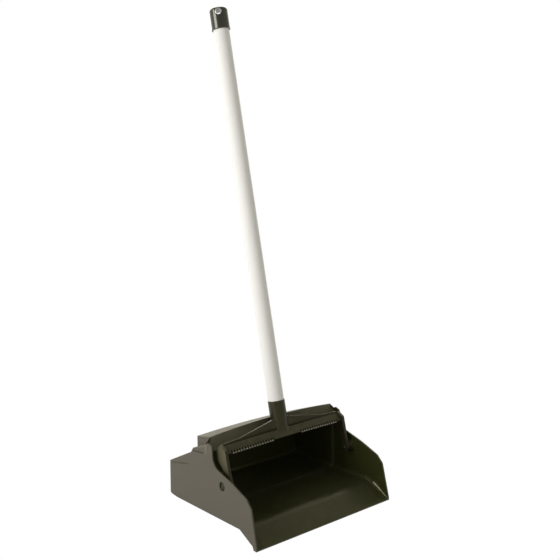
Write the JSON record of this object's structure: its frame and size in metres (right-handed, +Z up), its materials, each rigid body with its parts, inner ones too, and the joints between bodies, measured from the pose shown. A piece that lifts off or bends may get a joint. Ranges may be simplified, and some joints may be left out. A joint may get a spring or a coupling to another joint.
{
  "type": "dust pan",
  "caption": "Upright lobby dust pan: hooded pan with a hinged comb-toothed yoke, a long coated tube handle and a hanging cap.",
  "frame": {"origin": "on the flat land under the lip, half way across the pan", "axes": "+X across the pan to its right seen from the front, +Y from the lip to the rear wall, +Z up from the floor"},
  "size_m": [0.3, 0.3311, 0.8749],
  "materials": {
    "black_plastic": "fine matte mould texture",
    "pin_plastic": "smooth satin moulding",
    "white_coat": "smooth plastic-coated steel",
    "cap_plastic": "glossy moulding",
    "rivet_metal": "satin"
  },
  "bodies": {
    "pan": {"pan": "black_plastic"},
    "handle": {"yoke": "black_plastic", "hinge_pin_left": "pin_plastic", "hinge_pin_right": "pin_plastic", "handle_tube": "white_coat", "tube_rivet": "rivet_metal", "handle_cap": "cap_plastic"}
  },
  "joints": [
    {"name": "yoke_hinge", "type": "hinge", "parent": "pan", "child": "handle", "pos_m": [0, 0.099, 0.075], "axis": [1, 0, 0], "range_deg": [0, 90]}
  ]
}
